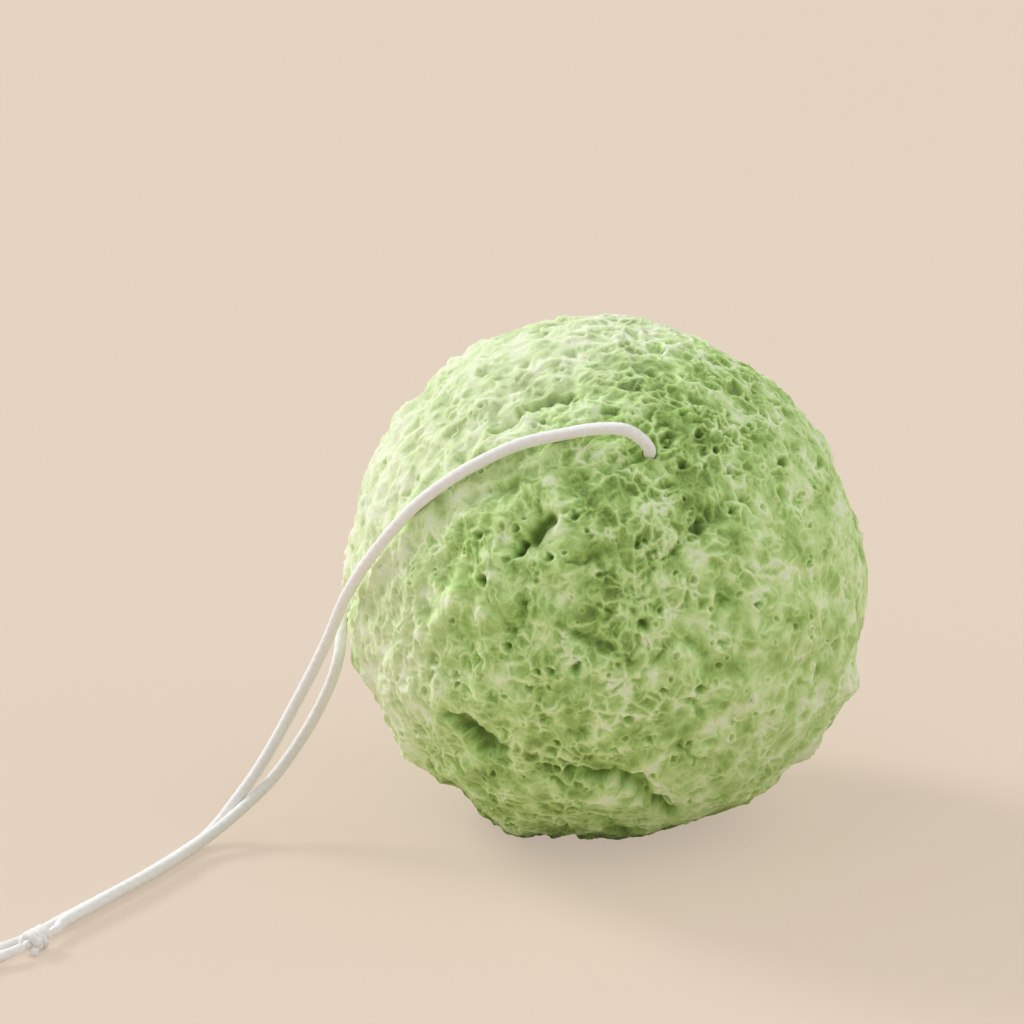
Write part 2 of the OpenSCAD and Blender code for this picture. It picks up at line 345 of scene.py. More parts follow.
cut_ends = []
for name, heading, reach, height in end_places:
    angle = math.radians(heading)
    out = Vector((math.cos(angle), math.sin(angle), 0))
    points = []
    for share in tail_shares:
        climb = Vector((0, 0, height * min(1, early_climb * share)))
        points.append(knot_centre + out * reach * share + climb)
    line, _ = smooth_line(points, cord_step / 2)
    cut_ends.append(laid_tube(name, line, tail_thick / 2, lobes=loose_lobes, pitch=tail_pitch))


def join(name, parts):
    """Makes one object of several, as Ctrl+J does."""
    bpy.ops.object.select_all(action="DESELECT")
    for part in parts:
        part.select_set(True)
    bpy.context.view_layer.objects.active = parts[0]
    bpy.ops.object.join()
    bpy.context.object.name = name
    return bpy.context.object


knot = join("tied_knot", knot_parts)
tails = join("cut_ends", cut_ends)
print("faces of the knot and of the cut ends:", len(knot.data.polygons), len(tails.data.polygons))

# %% [markdown]
# ## The ball
# The foam is a ball first, with the wide swells, hollows and dents of the CAD solid. Then come
# the smaller hollows, creases and pores that show in the photograph, and last a net of fibre all
# over. They are laid on as a sculptor's dabs: each dab is a place, a width and a height. A cube
# that is cut up, blown into a sphere and subdivided makes a finer, more even skin than the usual
# globe, which crowds at its poles.

# %% An even sphere
ball_low, ball_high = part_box("sponge_body")
ball_radius = (ball_high.x - ball_low.x) / 2
cube_cuts = 8
even_levels = 2
fine_levels = 3


def subdivide(piece, levels):
    """Rounds and refines a piece by that many levels, and applies it."""
    finer = piece.modifiers.new("finer", "SUBSURF")
    finer.levels = finer.render_levels = levels
    bpy.ops.object.modifier_apply(modifier=finer.name)


bpy.ops.object.select_all(action="DESELECT")
bpy.ops.mesh.primitive_cube_add(size=2 * ball_radius, location=ball_centre)
ball = bpy.context.object
ball.name = "sponge_ball"
bpy.ops.object.mode_set(mode="EDIT")
bpy.ops.mesh.select_all(action="SELECT")
bpy.ops.mesh.subdivide(number_cuts=cube_cuts)
bpy.ops.transform.tosphere(value=1)
bpy.ops.object.mode_set(mode="OBJECT")
subdivide(ball, even_levels)
bpy.ops.object.transform_apply(location=True, rotation=True, scale=True)
print("the sphere has", len(ball.data.polygons), "faces")

# %% [markdown]
# ### The shape of the solid
# Each point of the sphere is moved in or out until it lies on the CAD solid. A ray is sent in from
# outside for it, so that it meets the skin and not the channel. Near the channel's mouths the
# skin is read a little to one side, and the mouths are carved later. Two or three more levels of
# subdivision then round off the solid's flat faces.

# %% Lay the sphere on the solid
solid = frame["nodes"]["sponge_body"]
fluff = 0.1 * mm
mouth_clear = 4 * mm / ball_radius


def beside_mouth(way):
    """The same direction, or one just outside a mouth where it would go into the channel."""
    for mouth in (channel, -channel):
        off = way - mouth
        if off.length < mouth_clear:
            return (mouth + off.normalized() * mouth_clear).normalized()
    return way


for vertex in ball.data.vertices:
    way = (vertex.co - ball_centre).normalized()
    read = beside_mouth(way)
    met, spot, _, _ = solid.ray_cast(ball_centre + 2 * ball_radius * read, -read)
    vertex.co = ball_centre + ((spot - ball_centre).length + fluff) * way
subdivide(ball, fine_levels)
places = np.zeros(len(ball.data.vertices) * 3, np.float32)
ball.data.vertices.foreach_get("co", places)
ways = places.reshape(-1, 3).astype(float) - np.array(ball_centre)
solid_reach = np.linalg.norm(ways, axis=1)
ways /= solid_reach[:, None]
print("the ball has", len(ball.data.polygons), "faces, from", round(solid_reach.min() / mm, 2),
      "to", round(solid_reach.max() / mm, 2), "mm from its middle")

# %% [markdown]
# ### Dabs by the photograph
# A pixel of the photograph is a line of sight, and where that line meets the sphere is the
# place of the dab. The outline's swells are given by their angle round the ball as it is seen.

# %% The dabs' places
to_camera = (camera_at - ball_centre).normalized()


def seen_way(x_px, y_px):
    """The way from the middle of the ball to the point of its skin that the camera sees there."""
    way = sight(x_px, y_px)
    to_ball = ball_centre - camera_at
    nearest = way * to_ball.dot(way)
    miss = to_ball - nearest
    inside = max(0, ball_radius ** 2 - miss.length_squared)
    return (camera_at + nearest - way * math.sqrt(inside) - ball_centre).normalized()


def limb_way(degrees):
    """The way from the middle of the ball to its outline, at an angle up from the right."""
    right = Vector((1, 0, 0))
    above = to_camera.cross(right)
    angle = math.radians(degrees)
    outward = math.cos(angle) * right + math.sin(angle) * above
    lean = ball_radius / (camera_at - ball_centre).length
    return (outward + lean * to_camera).normalized()


# What the outline has beyond the solid: angle round it in degrees, height and spread in mm
outline_swells = [
    (2, 0.2, 3), (15, 0.3, 3), (30, 1.5, 2.4), (50, 0.3, 3), (68, 0.5, 3), (85, -0.5, 1.8),
    (117, 0.5, 3.5), (125, 1.3, 3), (135, -0.8, 1.8), (141, 0.8, 2.4), (150, 0.3, 4),
    (165, -0.9, 2.2), (185, -1.1, 2.2), (221, 0.8, 3.5), (235, -1.9, 2), (245, 0.1, 2.5),
    (251, 1.1, 3), (264, -0.1, 4), (280, 0.2, 3), (290, 0.2, 2.5), (306, 0.4, 3),
    (320, 1.1, 2.5), (337, 1.8, 3), (348, -0.15, 4)]
# Soft hollows and lumps that face the camera: place in the picture, height and spread in mm
soft_dabs = [
    (472, 734, -0.9, 2.8), (500, 744, -0.5, 1.8), (548, 756, -0.3, 2.0), (588, 640, -0.7, 2.2),
    (724, 594, -0.6, 1.9), (698, 640, -0.5, 1.8), (665, 600, -0.5, 1.9), (585, 478, -0.4, 2.4),
    (552, 588, -0.3, 2.0), (446, 572, -0.7, 1.9), (610, 800, 0.7, 2.2), (530, 720, 0.5, 3.0),
    (486, 616, 0.9, 1.7), (455, 600, 0.8, 1.9), (560, 530, 0.6, 2.2), (700, 545, 0.4, 2.0),
    (640, 670, 0.5, 2.5), (745, 690, 0.5, 2.5), (720, 670, -0.4, 1.8), (770, 640, 0.4, 3.0),
    (420, 700, 0.5, 3.0), (600, 820, -0.4, 2.2), (640, 822, -0.4, 2.2), (705, 470, -0.3, 1.8),
    (430, 610, -0.8, 1.7), (610, 700, 0.4, 3.0), (468, 640, -0.6, 1.8), (503, 676, 0.6, 1.8),
    (424, 640, 0.6, 1.9), (395, 600, -0.5, 2.0), (405, 660, -0.5, 2.0), (442, 690, 0.5, 2.0)]
# Creases: place and half width in mm at one end, then at the other end, and depth in mm
creases = [
    (514, 556, 0.6, 547, 520, 1.8, 3.0), (666, 556, 0.6, 698, 526, 1.0, 0.9),
    (698, 526, 1.0, 722, 503, 1.2, 1.0), (728, 572, 1.2, 714, 616, 1.0, 0.9),
    (570, 632, 0.9, 604, 650, 1.5, 1.1), (450, 716, 1.2, 494, 750, 2.0, 2.0),
    (568, 772, 1.0, 632, 780, 1.6, 2.0), (632, 780, 1.6, 672, 814, 1.4, 2.4),
    (560, 822, 1.0, 640, 830, 1.2, 1.1), (530, 408, 0.7, 566, 400, 1.1, 1.6),
    (492, 434, 0.6, 522, 416, 1.0, 1.4), (570, 564, 0.4, 598, 556, 0.9, 1.0),
    (600, 566, 0.9, 604, 576, 0.6, 1.0), (692, 704, 1.1, 698, 716, 0.8, 1.0),
    (470, 500, 0.8, 512, 488, 1.2, 1.0), (606, 470, 0.8, 636, 462, 1.1, 1.0),
    (676, 420, 0.6, 700, 424, 0.8, 0.9), (430, 664, 0.4, 470, 690, 0.7, 0.9),
    (690, 788, 0.4, 694, 800, 0.5, 0.9), (638, 538, 0.5, 641, 548, 0.7, 1.7),
    (646, 560, 0.6, 656, 548, 0.5, 1.2), (762, 448, 0.4, 762, 459, 0.6, 0.9),
    (640, 598, 0.5, 652, 566, 0.7, 0.9), (742, 500, 0.9, 752, 512, 0.7, 1.0),
    (596, 602, 0.5, 610, 618, 0.8, 0.9), (640, 640, 0.5, 622, 664, 0.8, 0.8),
    (664, 646, 0.8, 644, 672, 0.7, 0.8), (700, 760, 0.7, 682, 748, 0.5, 0.9),
    (806, 470, 0.4, 834, 512, 0.6, 0.6), (512, 640, 0.6, 528, 604, 0.8, 0.8)]
# Pores that stand out: place in the picture, radius and depth in mm
pores = [
    (485, 580, 0.75, 1.5), (509, 647, 0.65, 1.5), (578, 667, 0.8, 1.7), (644, 624, 1.0, 1.9),
    (549, 558, 0.6, 1.4), (531, 687, 0.5, 1.3), (584, 727, 1.7, 0.6), (628, 716, 0.7, 1.2),
    (614, 747, 0.55, 1.2), (652, 775, 0.55, 1.2), (687, 643, 1.2, 1.1), (701, 689, 0.9, 1.5),
    (724, 437, 0.6, 1.3), (697, 437, 0.6, 1.3), (749, 429, 0.55, 1.3), (743, 450, 0.5, 1.0),
    (728, 472, 0.5, 1.3), (782, 496, 1.2, 1.3), (797, 496, 0.5, 0.9), (807, 564, 0.6, 1.1),
    (778, 464, 0.8, 1.1), (681, 468, 0.7, 1.2), (732, 510, 0.7, 1.4), (575, 516, 0.6, 1.2),
    (480, 536, 0.6, 1.1), (518, 529, 0.5, 1.0), (588, 531, 0.4, 0.9), (479, 661, 0.9, 1.1),
    (455, 676, 0.6, 1.0), (723, 644, 0.8, 1.2), (663, 690, 0.5, 1.2), (749, 700, 0.5, 1.2),
    (800, 660, 0.4, 1.1), (851, 650, 0.5, 1.0), (649, 738, 0.8, 0.7), (690, 745, 0.5, 1.2),
    (674, 758, 0.5, 1.2), (762, 752, 0.7, 0.9), (730, 736, 0.5, 0.9), (719, 799, 0.6, 1.1),
    (744, 788, 0.5, 0.9), (757, 605, 0.5, 1.1), (809, 629, 0.4, 0.8),
    (651, 800, 0.5, 0.9), (667, 802, 0.5, 0.9), (544, 718, 0.4, 0.7), (556, 770, 0.5, 0.9),
    (551, 668, 0.6, 0.9), (466, 552, 0.5, 0.9), (651, 377, 0.8, 0.9), (708, 380, 0.4, 1.0)]

# %% [markdown]
# ### How a dab fades
# A swell fades as a bell does. On the outline it runs on along the line of sight, or the foam
# before and behind it would hide a hollow there. A pore is flat at its bottom, steep at its
# wall and has a low rim round it, where fibre gathered as the bubble burst. A crease is a pore
# drawn out along a line and tapered. Foam has no clean edges, so the dabs are laid on a ball
# whose points are first pushed about by a few waves: what is straight there comes out ragged
# here. The sizes of dabs are in millimetres.

# %% Lay the dabs on
carved = np.zeros(len(ways))
swollen = np.zeros(len(ways))
to_mm = ball_radius / mm
outline_deep = 9
near_enough = 3.0
wall_top, wall_wide = 1.35, 1.1
rim_place, rim_wide, rim_evenness = 1.5, 0.4, 0.6
narrow_depth = 0.6
crease_rim, pore_rim = 0.1, 0.3
mouth_radius, mouth_depth = 0.85, 3.0


def pushed(points, far, wave):
    """Directions pushed about by waves of a length in mm, at most about that far in mm."""
    spin = 2 * math.pi * to_mm / wave
    first = np.sin(spin * points[:, (1, 2, 0)] + 2.1 * np.sin(0.7 * spin * points[:, (2, 0, 1)]))
    second = np.sin(1.9 * spin * points[:, (2, 0, 1)] + 1.3 * np.sin(1.1 * spin * points))
    return points + far / to_mm * (0.6 * first + 0.4 * second)


ragged = pushed(ways, 0.6, 4.6)
slightly = pushed(ways, 0.22, 2.1)


def add_swell(way, height, spread, deep):
    """Raises a wide soft swell, or presses a hollow where height is negative.

    spread is how wide it is, and deep is how far it runs along the line of sight.
    """
    apart = to_mm * (ragged - np.array(way))
    along = apart @ np.array(to_camera)
    across = (apart ** 2).sum(axis=1) - along ** 2
    swollen[:] += height * np.exp(-across / spread ** 2 - (along / deep) ** 2)


def add_pit(points, start, end, radii, depth, rim):
    """Sinks a pit, tapered along the short way between two directions, with a rim round it."""
    a, b = np.array(start), np.array(end)
    reach = np.linalg.norm(b - a) / 2 + near_enough * max(radii) / to_mm
    close = np.flatnonzero(np.linalg.norm(points - (a + b) / 2, axis=1) < reach)
    rel = points[close] - a
    share = np.clip(rel @ (b - a) / max(1e-12, float((b - a) @ (b - a))), 0, 1)
    radius = radii[0] + (radii[1] - radii[0]) * share
    apart = np.linalg.norm(rel - share[:, None] * (b - a), axis=1) * to_mm / radius
    wall = ease(np.clip((wall_top - apart) / wall_wide, 0, 1))
    deep = depth * (narrow_depth + (1 - narrow_depth) * radius / max(radii))
    round_it = np.exp(-((apart - rim_place) / rim_wide) ** 2)
    carved[close] += rim / (rim_evenness + radius) * round_it - deep * wall


for degrees, height, spread in outline_swells:
    add_swell(limb_way(degrees), height, spread, outline_deep)
for x, y, height, spread in soft_dabs:
    add_swell(seen_way(x, y), height, spread, spread)
for x1, y1, radius1, x2, y2, radius2, depth in creases:
    add_pit(ragged, seen_way(x1, y1), seen_way(x2, y2), (radius1, radius2), depth, crease_rim)
for x, y, radius, depth in pores:
    add_pit(slightly, seen_way(x, y), seen_way(x, y), (radius, radius), depth, pore_rim)
for way in (channel, -channel):
    add_pit(ways, way, way, (mouth_radius, mouth_radius), mouth_depth, crease_rim)
print("dabs laid on:", len(outline_swells) + len(soft_dabs) + len(creases) + len(pores) + 2)

# %% [markdown]
# ### Pores where the camera doesn't look
# The other sides of the ball have the same kind of pores and creases. They are strewn at random,
# with a fixed seed so that the ball is the same each time, and only where the photograph's own
# marks leave off.

# %% Strew the unseen pores
draw = random.Random(7)
seen_limit = 0.25
tries = 330
crease_every = 5
crease_lengths = (2, 8)
crease_radii = (0.4, 1.6)
least_pore, pore_spread = 0.4, 0.8
strewn_depths = (0.8, 1.8)


def random_way():
    """A direction chosen evenly over the sphere."""
    up = draw.uniform(-1, 1)
    turn = draw.uniform(0, 2 * math.pi)
    flat = math.sqrt(1 - up * up)
    return Vector((flat * math.cos(turn), flat * math.sin(turn), up))


strewn = 0
for number in range(tries):
    way = random_way()
    heading = way.orthogonal().normalized() * math.cos(number)
    heading += way.cross(heading).normalized() * math.sin(number)
    crease_long = draw.uniform(*crease_lengths) / to_mm
    narrow, wide = sorted(draw.uniform(*crease_radii) for _ in range(2))
    pore = least_pore + pore_spread * draw.random() ** 2
    depth = draw.uniform(*strewn_depths)
    if way.dot(to_camera) > seen_limit:
        continue
    strewn += 1
    if number % crease_every == 0:
        other_end = (way + heading * crease_long).normalized()
        add_pit(ragged, way, other_end, (narrow, wide), depth, crease_rim)
    else:
        add_pit(slightly, way, way, (pore, pore), depth, pore_rim)
print("strewn on the other sides:", strewn)

# %% [markdown]
# ### Room for the cord
# The cord lies on the foam and presses it a little, so no fibre may stand through it. Each point
# of the ball near a strand gets a highest reach, which follows the underside of the cord. The
# loop can be swung round the ball, so its furthest turn gets the same room as its rest.

# %% The groove under the cord
cord_room = 0.08
nearby = 5
no_limit = 60.0
groove = cord_thick / 2 / mm + cord_room
highest = np.full(len(ways), no_limit)
swing = Matrix.Rotation(math.radians(hinge["range_deg"][1]), 3, Vector(hinge["axis"]))
resting = [line - np.array(ball_centre) for strand, line, length in strands.values()]
swung = [line @ np.array(swing).T for line in resting]
for from_middle in resting + swung:
    from_middle = from_middle / mm
    far = np.linalg.norm(from_middle, axis=1)
    beside = (far > to_mm) & (far < to_mm + nearby)
    for spot, reach in zip(from_middle[beside] / far[beside, None], far[beside]):
        apart = reach * np.linalg.norm(ways - spot, axis=1)
        close = apart < groove
        under = reach - np.sqrt(groove ** 2 - apart[close] ** 2)
        highest[close] = np.minimum(highest[close], under)
print("points of the ball under the cord:", int((highest < no_limit).sum()))
for name, values in (("carved", carved), ("swollen", swollen), ("highest", highest)):
    ball.data.attributes.new(name, "FLOAT", "POINT").data.foreach_set(
        "value", values.astype(np.float32))

# %% [markdown]
# ### Writing sums for nodes
# The net of fibre is worked out by nodes, because noise is quick there, and because the same
# nodes can then colour the surface. A node tree is long to write one link at a time. This small
# class lets sums be written as sums: each operator adds a node and joins its links.

# %% Fields that flow through a node tree


class Field:
    """A value or a vector inside a node tree."""

    def __init__(self, tree, socket):
        self.tree = tree
        self.socket = socket

    def maths(self, operation, *others):
        """The result of a maths node on this field and others."""
        vector = self.socket.type in ("VECTOR", "RGBA")
        return put(self.tree, "ShaderNodeVectorMath" if vector else "ShaderNodeMath",
                   [self, *others], operation=operation)

    def __add__(self, other):
        return self.maths("ADD", other)

    def __sub__(self, other):
        return self.maths("SUBTRACT", other)

    def __mul__(self, other):
        return self.maths("MULTIPLY", other)

    def scaled(self, factor):
        """A vector made longer or shorter."""
        node = self.tree.nodes.new("ShaderNodeVectorMath")
        node.operation = "SCALE"
        feed(self.tree, node.inputs[0], self)
        feed(self.tree, node.inputs["Scale"], factor)
        return Field(self.tree, node.outputs[0])

    def between(self, low, high, to_low=0.0, to_high=1.0):
        """A smooth step: to_low up to low, to_high from high on."""
        return put(self.tree, "ShaderNodeMapRange", [self, low, high, to_low, to_high],
                   interpolation_type="SMOOTHSTEP")

    def part(self, index):
        """The x, y or z of a vector, by its index."""
        return put(self.tree, "ShaderNodeSeparateXYZ", [self], output=index)


def feed(tree, socket, value):
    """Gives an input a field or a plain value."""
    if isinstance(value, Field):
        tree.links.new(value.socket, socket)
    else:
        socket.default_value = value


def put(tree, kind, values=(), output=0, **settings):
    """Adds a node. Values go to its inputs, in order or by name."""
    node = tree.nodes.new(kind)
    for setting, value in settings.items():
        setattr(node, setting, value)
    named = values.items() if isinstance(values, dict) else enumerate(values)
    for key, value in named:
        feed(tree, node.inputs[key], value)
    return Field(tree, node.outputs[output])


def noise(tree, at, size, detail=0.0, output=0):
    """Soft noise whose lumps are about that size, in the units of the place."""
    values = {"Vector": at, "Scale": 1 / size, "Detail": detail}
    return put(tree, "ShaderNodeTexNoise", values, output)


def shifts(tree, at, size, detail=0.0):
    """A vector noise around zero, to push places about."""
    return noise(tree, at, size, detail, output=1) - (0.5, 0.5, 0.5)


# %% [markdown]
# ### The net of fibre
# Under a lens the skin is a net of thin pale crests with smooth hollows between them. Each
# hollow was a bubble: most are shallow, and a few broke open and are deep. Voronoi cells are
# such bubbles. The distance to a cell's edge makes its wall and its hollow, and the cell's
# own chance value makes it shallow or deep. The place is bent by soft noise first, so that
# walls wander and cells are drawn out. Strands are crests where noise crosses its middle value.
# Round pinholes are spread among them, each with a rim. The fibres lie smooth on the right of
# the ball, and on its left and top the net is fine and low, so both sides soften it.

# %% Cells, walls and strands
# The sides of the ball: the way each faces, and how squarely a place faces that way where the
# side begins and where it is full
# The pale side, the upper right and the left edge are used only for painted light and painted sheen
# in the colour; the smooth and fine sides shape the net and are painted lighter as well.
sides = {
    "smooth": ((0.8, -0.5, -0.3), 0.2, 0.9),
    "fine": ((-0.88, -0.3, 0.37), 0.2, 0.8),
    "pale": ((-0.62, 0.2, 0.76), 0.42, 0.77),
    "upper_right": ((0.55, 0.2, 0.81), 0.6, 0.95),
    "left_edge": ((-0.97, -0.2, 0.0), 0.66, 0.94)}
# Sizes of the net in mm
bubble, bubble_wall = 2.5, 0.17
small_bubble, small_wall = 1.2, 0.2
strand, tiny_strand, thread = 2.6, 0.9, 1.3
pinholes_apart, widest_pinhole = 2.1, 0.55
# What each part of the net adds to the height, in mm, or takes off it
crest_h, fine_crest_h, rim_h = 0.3, 0.05, 0.14
bowl_deep, well_deep, small_well_deep, hole_deep = 0.3, 0.54, 0.12, 0.75
# How much each part adds to the paleness, or takes off it. The dark of bowls, wells and holes is
# painted shade, the paleness of rims and part of that of crests is a painted highlight, and the
# smooth side's paleness is painted light
crest_pale, fine_crest_pale, rim_highlight, smooth_side_light = 0.36, 0.13, 0.13, 0.31
bowl_shade, well_shade, small_well_shade, hole_shade = 0.24, 0.22, 0.08, 0.44


def bubble_cells(tree, at, size, wall):
    """Cells of a size: their thin walls, the soft bowls between them, and wells that broke open."""
    scale = 1 / size
    edge = put(tree, "ShaderNodeTexVoronoi", {"Vector": at, "Scale": scale},
               feature="DISTANCE_TO_EDGE")
    chance = put(tree, "ShaderNodeTexVoronoi", {"Vector": at, "Scale": scale}, output=1).part(0)
    walls = edge.between(0.0, wall, 1.0, 0.0)
    bowls = edge.between(0.0, 0.45)
    opened = edge.between(wall * 0.5, 0.36)
    return walls, bowls, opened * chance * chance * chance


def strand_crests(tree, at, size, sharpness):
    """Thin crests where noise crosses its middle value."""
    middle = noise(tree, at, size, 1.0) - 0.5
    return middle.maths("ABSOLUTE").between(0.0, sharpness, 1.0, 0.0)


def on_side(tree, at, name):
    """How far a place is on a side of the ball: 0 off it, 1 well on it."""
    way, low, high = sides[name]
    facing = at.maths("NORMALIZE").maths("DOT_PRODUCT", way)
    return Field(tree, facing.socket.node.outputs["Value"]).between(low, high)


def pinholes(tree, at, size, widest):
    """Round pores here and there, up to a radius in mm, and the rims round them, whose paleness is
    a painted highlight.
    """
    cells = {"Vector": at, "Scale": 1 / size}
    apart = put(tree, "ShaderNodeTexVoronoi", cells) * size
    chance = put(tree, "ShaderNodeTexVoronoi", cells, output=1).part(1)
    radius = chance.between(0.3, 1.0, -0.25, widest)
    past_edge = apart - radius
    holes = past_edge.between(-0.3, 0.14, 1.0, 0.0)
    rims = past_edge.between(0.02, 0.16) * past_edge.between(0.16, 0.5, 1.0, 0.0)
    return holes, rims * chance.between(0.3, 0.6)


def fibre_net(tree, at):
    """Relief in mm and paleness of the net, with its painted shade and painted light, at a place in
    mm from the middle of the ball.
    """
    smooth_side, fine_side = on_side(tree, at, "smooth"), on_side(tree, at, "fine")
    bent = at + shifts(tree, at, 7.0).scaled(3.4) + shifts(tree, at, 2.0, 2.0).scaled(2.3)
    torn = noise(tree, at + (31.0, 7.0, 3.0), 5.0, 1.0).between(0.38, 0.58, 0.3, 1.0)
    broad = (smooth_side * -0.6 + 1.0) * (fine_side * -0.52 + 1.0)
    walls, bowls, wells = bubble_cells(tree, bent, bubble, bubble_wall)
    small_walls, _, small_wells = bubble_cells(
        tree, bent + (4.0, 9.0, 1.0), small_bubble, small_wall)
    strands = strand_crests(tree, bent * (1.0, 1.0, 0.6) + (3.0, 8.0, 5.0), strand, 0.06)
    tiny = strand_crests(tree, bent + (7.0, 1.0, 6.0), tiny_strand, 0.1)
    threads = strand_crests(tree, bent * (0.9, 0.6, 0.5) + (1.0, 6.0, 2.0), thread, 0.06)
    crests = walls.maths("MAXIMUM", strands * 0.7) * torn * broad
    fine_crests = small_walls.maths("MAXIMUM", tiny * 0.5).maths("MAXIMUM", threads * torn)
    holes, rims = pinholes(
        tree, at + shifts(tree, at, 1.6).scaled(0.8), pinholes_apart, widest_pinhole)
    relief = crests * crest_h + fine_crests * fine_crest_h - bowls * torn * broad * bowl_deep
    relief = relief - wells * broad * well_deep - small_wells * broad * small_well_deep
    relief = relief - holes * broad * hole_deep + rims * broad * rim_h
    # Painted highlight: rims are painted pale, and crests are pale partly as their own colour and
    # partly as a painted highlight.
    pale = crests * crest_pale + fine_crests * (smooth_side * -0.07 + fine_crest_pale)
    # Painted shade: bowls, wells and holes are painted darker.
    pale = pale - bowls * torn * broad * bowl_shade - wells * broad * well_shade
    # Painted light: the smooth right side is painted paler.
    pale = pale - small_wells * small_well_shade + smooth_side * smooth_side_light
    pale = pale - holes * broad * hole_shade + rims * rim_highlight
    return relief, pale


# %% [markdown]
# ### The skin
# The net lies on soft lumps of two sizes, and a fine grain lies on the net. A modifier made of
# nodes moves each point out or in by the sum of them all and of the dabs, leans it over a
# little so that some crests overhang, and then holds it below the cord and above the floor.
# Each point keeps its old place by the name foam_at, for the colours.

# %% The skin's node tree
lump, lump_h = 8.0, 0.6
small_lump, small_lump_h = 3.6, 1.9
grain_size, grain_h = 0.5, 0.08
lean_size, lean_far = 1.5, 0.3
net_lift = 0.45
more_on_fine = 0.5

skin = bpy.data.node_groups.new("fibrous_skin", "GeometryNodeTree")
skin.interface.new_socket("Geometry", in_out="INPUT", socket_type="NodeSocketGeometry")
skin.interface.new_socket("Geometry", in_out="OUTPUT", socket_type="NodeSocketGeometry")


def stored(name):
    """A value that was stored at the points."""
    return put(skin, "GeometryNodeInputNamedAttribute", {"Name": name}, data_type="FLOAT")


place = put(skin, "GeometryNodeInputPosition")
at = (place - tuple(ball_centre)).scaled(1 / mm)
outward = at.maths("NORMALIZE")
relief, _ = fibre_net(skin, at)
lumps = (noise(skin, at + (5.0, 5.0, 5.0), lump, 1.0) - 0.5) * lump_h
small_lumps = (noise(skin, at * (1.0, 1.0, 0.7), small_lump, 1.0) - 0.5) * small_lump_h
small_lumps = small_lumps * (on_side(skin, at, "fine") * more_on_fine + 1.0)
grain = (noise(skin, at, grain_size, 1.0) - 0.5) * grain_h
in_pit = stored("carved").between(-1.4, -0.3, 0.3, 1.0)
height = stored("carved") + stored("swollen") + lumps + small_lumps + grain + relief * in_pit
moved = place + outward.scaled((height + net_lift) * mm)
moved = moved + shifts(skin, at + (2.0, 2.0, 9.0), lean_size, 1.0).scaled(lean_far * mm)
moved = moved - tuple(ball_centre)
reach = Field(skin, moved.maths("LENGTH").socket.node.outputs["Value"]) * (1 / mm)
moved = moved.scaled(stored("highest").maths("DIVIDE", reach).maths("MINIMUM", 1.0))
moved = moved + tuple(ball_centre)
floored = put(skin, "ShaderNodeCombineXYZ", [
    moved.part(0), moved.part(1), moved.part(2).maths("MAXIMUM", 0.0)])

sphere = put(skin, "NodeGroupInput")
remembered = put(skin, "GeometryNodeStoreNamedAttribute", {
    "Geometry": sphere, "Name": "foam_at", "Value": at}, data_type="FLOAT_VECTOR", domain="POINT")
grown_skin = put(skin, "GeometryNodeSetPosition", {"Geometry": remembered, "Position": floored})
feed(skin, skin.nodes.new("NodeGroupOutput").inputs["Geometry"], grown_skin)
print("the skin's tree has", len(skin.nodes), "nodes")

# %% Grow the skin
grow = ball.modifiers.new("fibrous skin", "NODES")
grow.node_group = skin
bpy.ops.object.select_all(action="DESELECT")
ball.select_set(True)
bpy.context.view_layer.objects.active = ball
bpy.ops.object.modifier_apply(modifier=grow.name)
bpy.ops.object.shade_smooth()
grown = np.zeros(len(ball.data.vertices) * 3, np.float32)
ball.data.vertices.foreach_get("co", grown)
reach = np.linalg.norm(grown.reshape(-1, 3) - np.array(ball_centre), axis=1) / mm
print("radius in mm, share by share:", np.percentile(reach, (0, 1, 25, 50, 75, 99, 100)).round(2))

# %% [markdown]
# ## Materials
# Konjac fibre is a pale green jelly that has dried to foam. Thin crests look almost white, partly
# as their own colour and partly as a painted highlight, while hollows, pits and creases are painted
# darker as painted shade, so the colour follows the same net as the relief, from the place on the
# round ball that each point of the skin remembers. Swells are painted lighter and hollows darker,
# the bottom is painted darker, and the left, top and upper right are painted lighter, all as
# painted light and shade. Light scatters a little way into the foam, and the top left and left edge
# are mixed towards a whitish painted sheen.

# %% Konjac foam


def new_material(name):
    """An empty material with its shader, ready for nodes."""
    material = bpy.data.materials.new(name)
    material.use_nodes = True
    return material, material.node_tree, material.node_tree.nodes["Principled BSDF"]


def set_plain(shader, values):
    """Gives plain values to a shader's own sockets, by their names."""
    for name, value in values.items():
        shader.inputs[name].default_value = value


def dress(piece, material):
    """Gives a piece that material alone."""
    piece.data.materials.clear()
    piece.data.materials.append(material)


def ramp(tree, factor, stops):
    """A colour ramp through the given places and colours."""
    node = tree.nodes.new("ShaderNodeValToRGB")
    feed(tree, node.inputs[0], factor)
    while len(node.color_ramp.elements) < len(stops):
        node.color_ramp.elements.new(0.5)
    for element, (place, colour) in zip(node.color_ramp.elements, stops):
        element.position = place
        element.color = (*colour, 1)
    return Field(tree, node.outputs[0])


plain_tone = 0.335
patch_size, patch_share = 7.0, 0.85
cloud_size, cloud_share = 3.4, 1.15
speck_size, speck_share = 0.6, 0.05
# Painted light: the left, the top left, the left edge and the upper right of the ball are painted
# lighter.
painted_side_light = {"pale": 0.14, "fine": 0.21, "upper_right": 0.15, "left_edge": 0.14}
# Painted sheen: a whitish colour mixed into the top left and the left edge.
painted_sheen_colour = (0.83, 0.80, 0.69)
painted_sheen_share = 0.34

